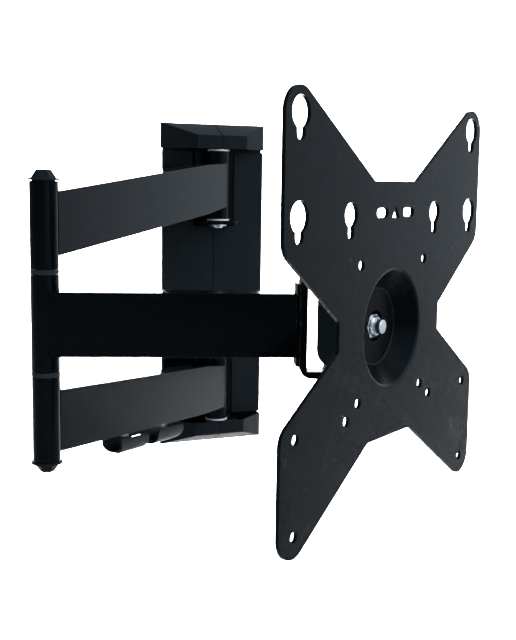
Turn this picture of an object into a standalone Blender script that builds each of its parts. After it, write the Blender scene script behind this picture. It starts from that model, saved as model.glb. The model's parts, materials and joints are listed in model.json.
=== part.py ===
"""Full motion television wall mount.

A steel wall plate with moulded covers carries two hinge brackets. A pair of inner arms swings on
them and holds the elbow column. The outer arm swings on the elbow and ends in a U bracket, where a
swivel block, a tilt knuckle and the slotted television plate follow. The origin is the centre of
the wall plate's back face, +Z is up and the room lies towards -Y.
"""

import math

import bmesh
import bpy

MM = 0.001
GAP = 0.25 * MM                     # clearance between pieces that touch
OVERLAP = 1.0 * MM                  # how far a shape runs into the one that it is joined to

# Wall column
PLATE_WIDTH = 82.4 * MM
PLATE_HEIGHT = 249.6 * MM
PLATE_GAUGE = 3.0 * MM
COLUMN_WIDTH = 86.0 * MM
COLUMN_HEIGHT = 253.2 * MM
COVER_HEIGHT = 210.6 * MM
COVER_SKIN = 2.0 * MM
COVER_CHAMFER = 0.8 * MM
SEAM_WIDTH = 0.7 * MM               # parting line down the middle of the cover and the caps
SEAM_DEPTH = 0.6 * MM
CAP_SKIN = 1.6 * MM
CAP_DEPTH = 24.0 * MM
CAP_SKIRT_DEPTH = 4.0 * MM
CAP_FRONT_HALF_WIDTH = 20.2 * MM
CAP_FRONT_TOP = 117.2 * MM
CAP_INNER_EDGE = 107.1 * MM
WALL_SLOT_RADIUS = 4.25 * MM
WALL_SLOT_LEVEL = 117.0 * MM
WALL_SLOT_SPREAD = 27.0 * MM
WALL_SLOT_HALF_LENGTH = 4.0 * MM    # of the outer slots, the middle ones are round

# Hinge line on the wall
WALL_AXIS_OUT = 15.0 * MM
SLEEVE_RADIUS = 8.25 * MM
SLEEVE_BORE = 6.4 * MM
WALL_SLEEVE_LOW = 53.4 * MM
WALL_SLEEVE_HIGH = 105.2 * MM
BUSH_FLANGE = 1.2 * MM
BUSH_FLANGE_RADIUS = 8.7 * MM
BUSH_SPIGOT = 10.0 * MM
HINGE_GAUGE = 2.6 * MM
HINGE_HALF_WIDTH = 16.0 * MM
HINGE_REACH = 21.9 * MM
PIN_RADIUS = 4.0 * MM
PIN_HEAD_RADIUS = 6.2 * MM
PIN_HEAD = 3.0 * MM
PIN_END = 3.2 * MM                  # past the lower tab
PIN_CHAMFER = 0.6 * MM
PIN_RING_RADIUS = 6.9 * MM
PIN_RING = 1.2 * MM

# Arms
INNER_ARM_LENGTH = 240.85 * MM
INNER_ARM_ANGLE = math.radians(-135.34)     # heading of the arm seen from above, from +X
ARM_THICKNESS = 16.5 * MM
ARM_HEIGHT = 36.6 * MM
ARM_WALL = 2.0 * MM
ARM_LEVEL_AT_ELBOW = 57.0 * MM
ARM_LEVEL_AT_WALL = 79.45 * MM
ARM_TAPER_LENGTH = 36.0 * MM
ARM_TAPER = 1.7 * MM
OUTER_ARM_LENGTH = 168.4 * MM
OUTER_ARM_HEADING = math.radians(-19.24)
OUTER_ARM_HEIGHT = 37.4 * MM

# Elbow column
ELBOW_SLEEVE_LOW = 31.3 * MM
ELBOW_SLEEVE_HIGH = 81.3 * MM
MIDDLE_SLEEVE_HALF = 28.0 * MM
ELBOW_SHAFT_RADIUS = 4.8 * MM
ELBOW_SHAFT_BORE = 5.1 * MM
COUNTERBORE_RADIUS = 6.95 * MM
COUNTERBORE_FLOOR = 72.5 * MM
ELBOW_HEXAGON = 11.6 * MM
ELBOW_NUT_HEIGHT = 4.5 * MM
ELBOW_BOLT_END = 5.6 * MM           # past the nut's seat
CAP_FLANGE_RADIUS = 9.3 * MM
CAP_FLANGE = 1.3 * MM
CAP_DOME_BASE = 7.5 * MM
CAP_DOME_TOP = 4.3 * MM
CAP_DOME_HEIGHT = 4.9 * MM
CAP_SPIGOT = 3.2 * MM
CAP_SPIGOT_RADIUS = 6.7 * MM
CAP_SPIGOT_BORE = 5.5 * MM

# U bracket at the end of the outer arm
BRACKET_HALF_HEIGHT = 31.3 * MM
BRACKET_GAUGE = 4.2 * MM
BRACKET_HALF_WIDTH = 8.0 * MM
BRACKET_WEB = 17.2 * MM             # web's inner face behind the swivel axis
BRACKET_REACH = 11.0 * MM
BRACKET_BEND = 7.0 * MM
END_PLATE = 2.0 * MM
SWIVEL_HEXAGON = 13.0 * MM
SWIVEL_HEAD = 5.0 * MM
SWIVEL_NUT = 6.0 * MM
SWIVEL_BOLT_END = 7.4 * MM          # past the bracket

# Head, measured back from the television plate's front face
PLATE_YAW = math.radians(31.9)
HEAD_DEPTH = 37.6 * MM              # swivel axis
TILT_DEPTH = 27.5 * MM              # tilt axis
BLOCK_HALF_WIDTH = 11.5 * MM
BLOCK_HALF_HEIGHT = 23.0 * MM
BLOCK_FRONT = 23.2 * MM
BLOCK_BACK = 43.1 * MM
BLOCK_CORNER = 9.0 * MM
KNUCKLE_SLOT = 6.5 * MM
KNUCKLE_HALF_WIDTH = 6.2 * MM
KNUCKLE_FRONT = 21.2 * MM
KNUCKLE_ROUND = 4.9 * MM
BLOCK_POCKET = 12.0 * MM            # half the height of the knuckle's slot
KNUCKLE_FACE_HALF = 8.0 * MM
KNUCKLE_FACE = 1.8 * MM
SWIVEL_SHANK = 3.9 * MM
SPACER_RADIUS = 6.8 * MM
TILT_SHANK = 2.9 * MM
TILT_BOLT_TIP = 8.3 * MM
TILT_BORE_END = 8.6 * MM
TILT_HEXAGON = 10.0 * MM
TILT_HEAD = 4.0 * MM
TILT_WASHER_RADIUS = 6.0 * MM
TILT_WASHER = 1.0 * MM

# Television plate, measured from the centre of its 200 mm hole pattern
TV_PLATE = 2.3 * MM
PATTERN_RISE = 4.6 * MM             # pattern centre above the stud
PLATE_SIDE = 113.7 * MM
TOP_NOTCH = (25.0 * MM, 77.8 * MM)
TOP_CORNER = 133.2 * MM
UPPER_SHOULDER = 42.5 * MM
WAIST_HALF_WIDTH = 59.5 * MM
WAIST_TOP = 4.6 * MM
WAIST_BOTTOM = -11.5 * MM
LOWER_SHOULDER = -46.0 * MM
BOTTOM_CORNER = -122.3 * MM
BOTTOM_NOTCH = (25.5 * MM, -66.8 * MM)
LOBE_RADIUS = 13.3 * MM
SHOULDER_RADIUS = 12.0 * MM
WAIST_RADIUS = 2.5 * MM
NOTCH_RADIUS = 4.0 * MM
HOLE_RADIUS = 3.0 * MM
OUTER_COLUMN = 100.0 * MM
INNER_COLUMN = 50.0 * MM
SMALL_SQUARE = 37.5 * MM            # half the side of the 75 mm pattern, centred on the pivot
OUTER_KEYHOLE = (9.7 * MM, 8.1 * MM, 3.7 * MM)     # head's rise, head's radius, slot's radius
INNER_KEYHOLE = (9.9 * MM, 6.6 * MM, 3.0 * MM)
SLOT_LEVEL = 60.5 * MM
SLOT_CENTRE = 15.5 * MM
SLOT_HALF_LENGTH = 4.0 * MM
SLOT_RADIUS = 2.6 * MM
TRIANGLE_HALF_WIDTH = 4.2 * MM
TRIANGLE_BASE = 57.6 * MM
TRIANGLE_TIP = 64.4 * MM
DISH_RADIUS = 33.4 * MM
DISH_FLOOR_RADIUS = 22.2 * MM
DISH_DEPTH = 11.0 * MM
POCKET_RADIUS = 8.6 * MM
POCKET_DEPTH = 17.5 * MM
STUD_RISE = 1.4 * MM                # stud above the arms' middle
STUD_RADIUS = 4.2 * MM
STUD_END = 6.0 * MM
STUD_ROOT = 22.7 * MM
STUD_CHAMFER = 0.35 * MM
FRICTION_RADIUS = 9.0 * MM
FRICTION_FRONT = 20.05 * MM
FRICTION_BACK = 20.95 * MM
PLATE_WASHER_RADIUS = 8.2 * MM
PLATE_WASHER = 1.0 * MM
PLATE_NUT_HEXAGON = 13.0 * MM
PLATE_NUT = 4.0 * MM
COLLAR_RADIUS = 6.2 * MM            # locking collar on the nut's front
COLLAR_TOP_RADIUS = 5.4 * MM
COLLAR_SHOULDER = 0.9 * MM
COLLAR_HEIGHT = 2.1 * MM

# Cable clip, measured along the lower inner arm from the elbow and down from its underside
CLIP_START = 76.0 * MM
CLIP_END = 167.5 * MM
CLIP_GAP_START = 114.0 * MM
CLIP_GAP_END = 128.5 * MM
CLIP_GAP_TOP = -7.2 * MM            # at the rear wall
CLIP_RADIUS = 7.6 * MM
CLIP_WALL = 1.6 * MM
CLIP_DROP = 6.4 * MM                # centre of the trough
CLIP_LIP_ANGLE = 26.0               # how far the front lips rise past the trough's middle, degrees
CLIP_LIP_CORNER = 3.6 * MM
CLIP_END_CORNER = 8.0 * MM
CLIP_STRIP = 1.4 * MM
CLIP_SCREW_STATIONS = (92.0 * MM, 145.0 * MM)
CLIP_SCREW_HOLE = 1.75 * MM
CLIP_SCREW_SHANK = 1.5 * MM
CLIP_SCREW_HEAD_RADIUS = 2.8 * MM
CLIP_SCREW_HEAD = 1.6 * MM
CLIP_SCREW_END = 4.0 * MM           # inside the arm

ROUND = 36                          # facets on round pieces
SMALL_ROUND = 24
SCREW_ROUND = 16


# ---------------------------------------------------------------- materials

def material(name, colour, roughness, metallic):
    """Principled material with one base colour."""
    result = bpy.data.materials.new(name)
    result.use_nodes = True
    shader = result.node_tree.nodes["Principled BSDF"]
    shader.inputs["Base Color"].default_value = (*colour, 1.0)
    shader.inputs["Roughness"].default_value = roughness
    shader.inputs["Metallic"].default_value = metallic
    return result


# ---------------------------------------------------------------- outlines

def arc(centre, radius, start, end, steps):
    """Points on an arc, with both ends, angles in degrees."""
    points = []
    for i in range(steps + 1):
        angle = math.radians(start + (end - start) * i / steps)
        x = centre[0] + radius * math.cos(angle)
        y = centre[1] + radius * math.sin(angle)
        points.append((x, y))
    return points


def circle(radius, segments, centre=(0.0, 0.0)):
    return arc(centre, radius, 0.0, 360.0 * (segments - 1) / segments, segments - 1)


def hexagon(across_flats):
    return circle(across_flats / math.sqrt(3.0), 6)


def rectangle(x0, x1, y0, y1):
    return [(x0, y0), (x1, y0), (x1, y1), (x0, y1)]


def rounded(corners, steps=6, closed=True):
    """Outline through corners given as (x, y, radius), each rounded by an arc."""
    points = []
    count = len(corners)
    for i, (x, y, radius) in enumerate(corners):
        end_point = not closed and i in (0, count - 1)
        if radius == 0.0 or end_point:
            points.append((x, y))
            continue
        before = corners[i - 1]
        after = corners[(i + 1) % count]
        ux, uy = before[0] - x, before[1] - y
        vx, vy = after[0] - x, after[1] - y
        u_length = math.hypot(ux, uy)
        v_length = math.hypot(vx, vy)
        ux, uy = ux / u_length, uy / u_length
        vx, vy = vx / v_length, vy / v_length
        half = math.acos(max(-1.0, min(1.0, ux * vx + uy * vy))) / 2.0
        bx, by = ux + vx, uy + vy
        b_length = math.hypot(bx, by)
        reach = radius / math.sin(half)
        cx = x + bx / b_length * reach
        cy = y + by / b_length * reach
        tangent = radius / math.tan(half)
        start = math.atan2(y + uy * tangent - cy, x + ux * tangent - cx)
        end = math.atan2(y + vy * tangent - cy, x + vx * tangent - cx)
        turn = (end - start + math.pi) % (2.0 * math.pi) - math.pi
        for k in range(steps + 1):
            angle = start + turn * k / steps
            points.append((cx + radius * math.cos(angle), cy + radius * math.sin(angle)))
    return points


def mirrored(half):
    """Closed outline from its right half, which runs from the bottom middle to the top middle."""
    left = [(-x, y, radius) for x, y, radius in reversed(half)]
    return half + left


def keyhole(x, y, head_rise, head_radius, slot_radius):
    """Keyhole whose slot ends round the point (x, y), with its wide head above."""
    join = math.degrees(math.asin(slot_radius / head_radius))
    slot = arc((x, y), slot_radius, -180.0, 0.0, 10)
    head = arc((x, y + head_rise), head_radius, -90.0 + join, 270.0 - join, 20)
    return slot + head


def obround(x, y, half_length, radius):
    right = arc((x + half_length, y), radius, -90.0, 90.0, 8)
    left = arc((x - half_length, y), radius, 90.0, 270.0, 8)
    return right + left


# ---------------------------------------------------------------- meshes

def place(point, height, axis):
    """Point of an outline at a height along the axis that the outline is swept along."""
    if axis == "X":
        return (height, point[0], point[1])
    if axis == "Y":
        return (point[0], height, point[1])
    return (point[0], point[1], height)


def prism(outline, low, high, axis="Z", into=None):
    """Outline swept from low to high along an axis; adds to the mesh that is passed in."""
    mesh = into or bmesh.new()
    bottom = [mesh.verts.new(place(p, low, axis)) for p in outline]
    top = [mesh.verts.new(place(p, high, axis)) for p in outline]
    mesh.faces.new(bottom)
    mesh.faces.new(list(reversed(top)))
    count = len(outline)
    for i in range(count):
        k = (i + 1) % count
        mesh.faces.new((bottom[i], top[i], top[k], bottom[k]))
    return mesh


def turned(profile, axis="Z", segments=ROUND, into=None):
    """Closed profile of (radius, height) points spun round the axis."""
    mesh = into or bmesh.new()
    rings = []
    for radius, height in profile:
        if radius == 0.0:
            rings.append([mesh.verts.new(place((0.0, 0.0), height, axis))])
            continue
        ring = []
        for x, y in circle(radius, segments):
            ring.append(mesh.verts.new(place((x, y), height, axis)))
        rings.append(ring)
    pairs = list(zip(rings, rings[1:] + rings[:1]))
    for first, second in pairs:
        if len(first) == 1 and len(second) == 1:
            continue
        for i in range(segments):
            k = (i + 1) % segments
            if len(first) == 1:
                mesh.faces.new((first[0], second[i], second[k]))
            elif len(second) == 1:
                mesh.faces.new((first[i], second[0], first[k]))
            else:
                mesh.faces.new((first[i], second[i], second[k], first[k]))
    return mesh


def tube(outer, inner, low, high, axis="Z", segments=ROUND):
    return turned([(outer, low), (outer, high), (inner, high), (inner, low)], axis, segments)


def rod(radius, low, high, axis="Z", segments=SMALL_ROUND, into=None):
    return prism(circle(radius, segments), low, high, axis, into)


# ---------------------------------------------------------------- objects

def link(name, data, parent):
    result = bpy.data.objects.new(name, data)
    bpy.context.scene.collection.objects.link(result)
    result.parent = parent
    return result


def axis_empty(name, parent, location, heading=0.0):
    result = link(name, None, parent)
    result.location = location
    result.rotation_euler = (0.0, 0.0, heading)
    return result


def solid(name, mesh, finish, parent=None):
    """Object made from a mesh under construction, with its faces pointing out."""
    bmesh.ops.recalc_face_normals(mesh, faces=mesh.faces)
    data = bpy.data.meshes.new(name)
    mesh.to_mesh(data)
    mesh.free()
    data.materials.append(finish)
    data.shade_smooth()
    data.set_sharp_from_angle(angle=math.radians(30.0))
    return link(name, data, parent)


def combine(target, mesh, operation):
    """Boolean of the target with a helper shape that has the target's own coordinates."""
    bmesh.ops.recalc_face_normals(mesh, faces=mesh.faces)
    data = bpy.data.meshes.new("helper")
    mesh.to_mesh(data)
    mesh.free()
    helper = link("helper", data, target)
    helper.hide_render = True
    helper.display_type = "WIRE"
    modifier = target.modifiers.new(operation.lower(), "BOOLEAN")
    modifier.operation = operation
    modifier.object = helper
    return target


def cut(target, mesh):
    return combine(target, mesh, "DIFFERENCE")


def trim(target, mesh):
    return combine(target, mesh, "INTERSECT")


def join(target, mesh):
    return combine(target, mesh, "UNION")


# ---------------------------------------------------------------- wall column

def wall_plate():
    half_width = PLATE_WIDTH / 2.0
    half_height = PLATE_HEIGHT / 2.0
    corner = 3.0 * MM
    outline = rounded([(-half_width, -half_height, corner), (half_width, -half_height, corner),
                       (half_width, half_height, corner), (-half_width, half_height, corner)])
    plate = solid("wall_plate", prism(outline, -PLATE_GAUGE, 0.0, "Y"), STEEL)
    slots = bmesh.new()
    for level in (-WALL_SLOT_LEVEL, WALL_SLOT_LEVEL):
        for x in (-WALL_SLOT_SPREAD, 0.0, WALL_SLOT_SPREAD):
            half_length = WALL_SLOT_HALF_LENGTH if x else 0.0
            slot = obround(x, level, half_length, WALL_SLOT_RADIUS)
            prism(slot, -2.0 * PLATE_GAUGE, PLATE_GAUGE, "Y", slots)
    cut(plate, slots)


def centre_cover():
    """Thin moulding over the wall plate, open round the hinge brackets and the folded arms."""
    half = COLUMN_WIDTH / 2.0 - 0.4 * MM
    back = -PLATE_GAUGE - GAP
    front = back - COVER_SKIN
    section = [(-half, back), (half, back), (half - COVER_CHAMFER, front), (-half + COVER_CHAMFER, front)]
    top = COVER_HEIGHT / 2.0
    cover = solid("centre_cover", prism(section, -top, top, "Z"), PLASTIC)
    bracket_side = HINGE_HALF_WIDTH + 1.0 * MM
    bracket_low = WALL_SLEEVE_LOW - 6.4 * MM
    arm_side = -half + COVER_CHAMFER + 0.8 * MM
    arm_low = WALL_SLEEVE_LOW + 3.6 * MM
    beyond = top + 5.0 * MM
    window = [(-bracket_side, bracket_low), (bracket_side, bracket_low), (bracket_side, beyond),
              (arm_side, beyond), (arm_side, arm_low), (-bracket_side, arm_low)]
    for side in (1.0, -1.0):
        outline = [(x, z * side) for x, z in window]
        cut(cover, prism(outline, front - 1.0 * MM, back + 1.0 * MM, "Y"))
    seam = rectangle(-SEAM_WIDTH / 2.0, SEAM_WIDTH / 2.0, front - 1.0 * MM, front + SEAM_DEPTH)
    cut(cover, prism(seam, -top - 1.0 * MM, top + 1.0 * MM))


def hipped_shape(inset, depth_inset, open_end, back):
    """Loft from the cap's rim to its small front face, for the cap at the top of the column."""
    half = COLUMN_WIDTH / 2.0 - inset
    top = COLUMN_HEIGHT / 2.0 - inset
    front_half = CAP_FRONT_HALF_WIDTH - inset * 0.5
    front_top = CAP_FRONT_TOP - inset * 0.6
    levels = [(back, half, top), (-CAP_SKIRT_DEPTH, half, top),
              (-CAP_DEPTH + depth_inset, front_half, front_top)]
    mesh = bmesh.new()
    rings = []
    for y, side, high in levels:
        corners = [(-side, open_end), (side, open_end), (side, high), (-side, high)]
        rings.append([mesh.verts.new((x, y, z)) for x, z in corners])
    mesh.faces.new(rings[0])
    mesh.faces.new(list(reversed(rings[-1])))
    for first, second in zip(rings, rings[1:]):
        for i in range(4):
            k = (i + 1) % 4
            mesh.faces.new((first[i], second[i], second[k], first[k]))
    return mesh


def cap_seam(side):
    """Shallow groove that follows the upper cap's surface at its middle."""
    top = COLUMN_HEIGHT / 2.0
    margin = 1.0 * MM
    low = CAP_INNER_EDGE - margin
    outside = [(margin, top + margin), (-CAP_SKIRT_DEPTH, top + margin),
               (-CAP_DEPTH - margin, CAP_FRONT_TOP + margin / 2.0), (-CAP_DEPTH - margin, low)]
    inside = [(-CAP_DEPTH + SEAM_DEPTH, low), (-CAP_DEPTH + SEAM_DEPTH, CAP_FRONT_TOP - SEAM_DEPTH / 2.0),
              (-CAP_SKIRT_DEPTH, top - SEAM_DEPTH), (margin, top - SEAM_DEPTH)]
    outline = [(y, z * side) for y, z in outside + inside]
    return prism(outline, -SEAM_WIDTH / 2.0, SEAM_WIDTH / 2.0, "X")


def end_cap(name, side):
    outer = hipped_shape(0.0, 0.0, CAP_INNER_EDGE, -0.4 * MM)
    inner = hipped_shape(CAP_SKIN, CAP_SKIN, CAP_INNER_EDGE - 5.0 * MM, 1.0 * MM)
    if side < 0.0:
        for mesh in (outer, inner):
            bmesh.ops.scale(mesh, vec=(1.0, 1.0, -1.0), verts=mesh.verts)
    cap = cut(solid(name, outer, PLASTIC), inner)
    cut(cap, cap_seam(side))


def hinge_bracket(name, side):
    """U-shaped bracket on the wall plate, whose two tabs hold one sleeve between them."""
    back = -PLATE_GAUGE - GAP
    low = WALL_SLEEVE_LOW - BUSH_FLANGE - 2.0 * GAP - HINGE_GAUGE
    high = WALL_SLEEVE_HIGH + BUSH_FLANGE + 2.0 * GAP + HINGE_GAUGE
    bend = HINGE_GAUGE + 0.6 * MM
    fillet = 0.6 * MM
    inner_back = back - HINGE_GAUGE
    profile = [(back, low, bend), (back, high, bend), (-HINGE_REACH, high, 0.0),
               (-HINGE_REACH, high - HINGE_GAUGE, 0.0), (inner_back, high - HINGE_GAUGE, fillet),
               (inner_back, low + HINGE_GAUGE, fillet), (-HINGE_REACH, low + HINGE_GAUGE, 0.0),
               (-HINGE_REACH, low, 0.0)]
    outline = [(y, z * side) for y, z in rounded(profile, 4)]
    bracket = solid(name, prism(outline, -HINGE_HALF_WIDTH, HINGE_HALF_WIDTH, "X"), STEEL)
    corner = 6.5 * MM
    half = HINGE_HALF_WIDTH
    plan = rounded([(-half, 2.0 * MM, 0.0), (-half, -HINGE_REACH, corner),
                    (half, -HINGE_REACH, corner), (half, 2.0 * MM, 0.0)])
    reach = COLUMN_HEIGHT
    trim(bracket, prism(plan, -reach, reach, "Z"))
    bores = rod(PIN_RADIUS + GAP, -reach, reach, "Z")
    bmesh.ops.translate(bores, vec=(0.0, -WALL_AXIS_OUT, 0.0), verts=bores.verts)
    cut(bracket, bores)


def wall_pin(name, side, hinge_line):
    tab_low = WALL_SLEEVE_LOW - BUSH_FLANGE - 2.0 * GAP - HINGE_GAUGE
    tab_high = WALL_SLEEVE_HIGH + BUSH_FLANGE + 2.0 * GAP + HINGE_GAUGE
    head_low = tab_high + GAP
    head_high = head_low + PIN_HEAD
    end = tab_low - PIN_END
    profile = [(0.0, end), (PIN_RADIUS - PIN_CHAMFER, end), (PIN_RADIUS, end + PIN_CHAMFER),
               (PIN_RADIUS, head_low), (PIN_HEAD_RADIUS, head_low),
               (PIN_HEAD_RADIUS, head_high - 0.8 * MM), (PIN_HEAD_RADIUS - 0.8 * MM, head_high),
               (0.0, head_high)]
    profile = [(radius, height * side) for radius, height in profile]
    solid(name, turned(profile, segments=SMALL_ROUND), ZINC, hinge_line)


def pin_ring(name, side, hinge_line):
    """Retaining ring on the pin's free end."""
    high = WALL_SLEEVE_LOW - BUSH_FLANGE - 3.0 * GAP - HINGE_GAUGE
    low = high - PIN_RING
    ring = tube(PIN_RING_RADIUS, PIN_RADIUS + GAP, low * side, high * side, segments=SMALL_ROUND)
    solid(name, ring, ZINC, hinge_line)


def wall_bush(name, end, direction, hinge_line):
    """Flanged bush in one end of a wall sleeve; direction is +1 where the flange faces up."""
    inner = PIN_RADIUS + GAP
    face = end + GAP * direction
    outside = face + BUSH_FLANGE * direction
    tip = end - BUSH_SPIGOT * direction
    spigot = SLEEVE_BORE - GAP
    profile = [(inner, tip), (spigot, tip), (spigot, face), (BUSH_FLANGE_RADIUS, face),
               (BUSH_FLANGE_RADIUS, outside), (inner, outside)]
    solid(name, turned(profile, segments=SMALL_ROUND), NYLON, hinge_line)


def wall_column():
    wall_plate()
    centre_cover()
    hinge_line = axis_empty("hinge_line", None, (0.0, -WALL_AXIS_OUT, 0.0))
    for word, cap, side in (("upper", "top_cap", 1.0), ("lower", "bottom_cap", -1.0)):
        end_cap(cap, side)
        hinge_bracket(word + "_hinge_bracket", side)
        wall_pin(word + "_wall_pin", side, hinge_line)
        pin_ring(word + "_pin_ring", side, hinge_line)
        wall_bush(word + "_wall_bush_outer", WALL_SLEEVE_HIGH * side, side, hinge_line)
        wall_bush(word + "_wall_bush_inner", WALL_SLEEVE_LOW * side, -side, hinge_line)


# ---------------------------------------------------------------- inner arms

def arm_level(x):
    """Height of the upper inner arm's centre line at a distance from the wall hinge."""
    share = x / INNER_ARM_LENGTH
    return ARM_LEVEL_AT_WALL + (ARM_LEVEL_AT_ELBOW - ARM_LEVEL_AT_WALL) * share


def arm_outline(inset, start, end):
    """Side view of the upper inner arm, a little lower where it meets the wall sleeve."""
    half = ARM_HEIGHT / 2.0 - inset
    low_half = half - ARM_TAPER
    stations = [(start, low_half), (ARM_TAPER_LENGTH, half), (end, half)]
    bottom = [(x, arm_level(x) - h) for x, h in stations]
    top = [(x, arm_level(x) + h) for x, h in reversed(stations)]
    return bottom + top


def inner_arm_tube(name, side, swing):
    half = ARM_THICKNESS / 2.0
    outer = [(x, z * side) for x, z in arm_outline(0.0, 0.0, INNER_ARM_LENGTH)]
    hollow = [(x, z * side) for x, z in arm_outline(ARM_WALL, -20.0 * MM, INNER_ARM_LENGTH + 20.0 * MM)]
    arm = solid(name, prism(outer, -half, half, "Y"), STEEL, swing)
    cut(arm, prism(hollow, -half + ARM_WALL, half - ARM_WALL, "Y"))
    ends = bmesh.new()
    for x in (0.0, INNER_ARM_LENGTH):
        outline = circle(SLEEVE_RADIUS + 1.5 * GAP, ROUND, (x, 0.0))
        prism(outline, -COLUMN_HEIGHT, COLUMN_HEIGHT, "Z", ends)
    cut(arm, ends)
    return arm


def inner_arm_sleeves(word, side, swing, elbow):
    wall_end = tube(SLEEVE_RADIUS, SLEEVE_BORE, WALL_SLEEVE_LOW * side, WALL_SLEEVE_HIGH * side)
    solid(word + "_wall_sleeve", wall_end, STEEL, swing)
    low = ELBOW_SLEEVE_LOW * side
    high = ELBOW_SLEEVE_HIGH * side
    floor = COUNTERBORE_FLOOR * side
    profile = [(ELBOW_SHAFT_BORE, low), (SLEEVE_RADIUS, low), (SLEEVE_RADIUS, high),
               (COUNTERBORE_RADIUS, high), (COUNTERBORE_RADIUS, floor), (ELBOW_SHAFT_BORE, floor)]
    solid(word + "_elbow_sleeve", turned(profile), STEEL, elbow)


def elbow_bolt(elbow):
    head_low = COUNTERBORE_FLOOR + GAP
    head = prism(hexagon(ELBOW_HEXAGON), head_low, head_low + ELBOW_NUT_HEIGHT)
    bolt = solid("elbow_bolt", head, ZINC, elbow)
    join(bolt, rod(ELBOW_SHAFT_RADIUS, -COUNTERBORE_FLOOR - ELBOW_BOLT_END, head_low + OVERLAP))
    nut_high = -COUNTERBORE_FLOOR - GAP
    hexagon_nut = prism(hexagon(ELBOW_HEXAGON), nut_high - ELBOW_NUT_HEIGHT, nut_high)
    nut = solid("elbow_nut", hexagon_nut, ZINC, elbow)
    cut(nut, rod(ELBOW_SHAFT_BORE, -COLUMN_HEIGHT, 0.0))


def elbow_cap(name, side, elbow):
    """Moulded plug with a round flange and a faceted dome."""
    base = ELBOW_SLEEVE_HIGH + GAP
    flange_top = base + CAP_FLANGE
    spigot_low = base - CAP_SPIGOT
    profile = [(CAP_SPIGOT_BORE, spigot_low), (CAP_SPIGOT_RADIUS, spigot_low), (CAP_SPIGOT_RADIUS, base),
               (CAP_FLANGE_RADIUS, base), (CAP_FLANGE_RADIUS, flange_top - 0.3 * MM),
               (CAP_FLANGE_RADIUS - 0.3 * MM, flange_top), (0.0, flange_top), (0.0, base),
               (CAP_SPIGOT_BORE, base)]
    profile = [(radius, height * side) for radius, height in profile]
    cap = solid(name, turned(profile), PLASTIC, elbow)
    facets = 6
    dome = bmesh.new()
    rings = []
    dome_levels = ((flange_top - 0.5 * MM, CAP_DOME_BASE), (flange_top, CAP_DOME_BASE),
                   (flange_top + CAP_DOME_HEIGHT, CAP_DOME_TOP))
    for height, radius in dome_levels:
        rings.append([dome.verts.new((x, y, height * side)) for x, y in circle(radius, facets)])
    dome.faces.new(rings[0])
    dome.faces.new(list(reversed(rings[-1])))
    for first, second in zip(rings, rings[1:]):
        for i in range(facets):
            k = (i + 1) % facets
            dome.faces.new((first[i], second[i], second[k], first[k]))
    join(cap, dome)


def clip_section():
    """Trough open along the front, below a strip that lies against the arm's underside."""
    centre = (0.0, -CLIP_DROP)
    lip = 360.0 + CLIP_LIP_ANGLE
    outer = arc(centre, CLIP_RADIUS, 180.0, lip, 20)
    inner = arc(centre, CLIP_RADIUS - CLIP_WALL, lip, 180.0, 20)
    strip_under = -GAP - CLIP_STRIP
    strip_front = 2.5 * MM
    inside = -CLIP_RADIUS + CLIP_WALL
    section = [(-CLIP_RADIUS, -GAP)] + outer + inner
    section += [(inside, strip_under), (strip_front, strip_under), (strip_front, -GAP)]
    return [(-across, z) for across, z in section]


def clip_screw_hole(station, into):
    hole = circle(CLIP_SCREW_HOLE, SCREW_ROUND, (station, 0.0))
    prism(hole, -CLIP_SCREW_END, CLIP_SCREW_END + 2.0 * MM, "Z", into)


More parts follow.
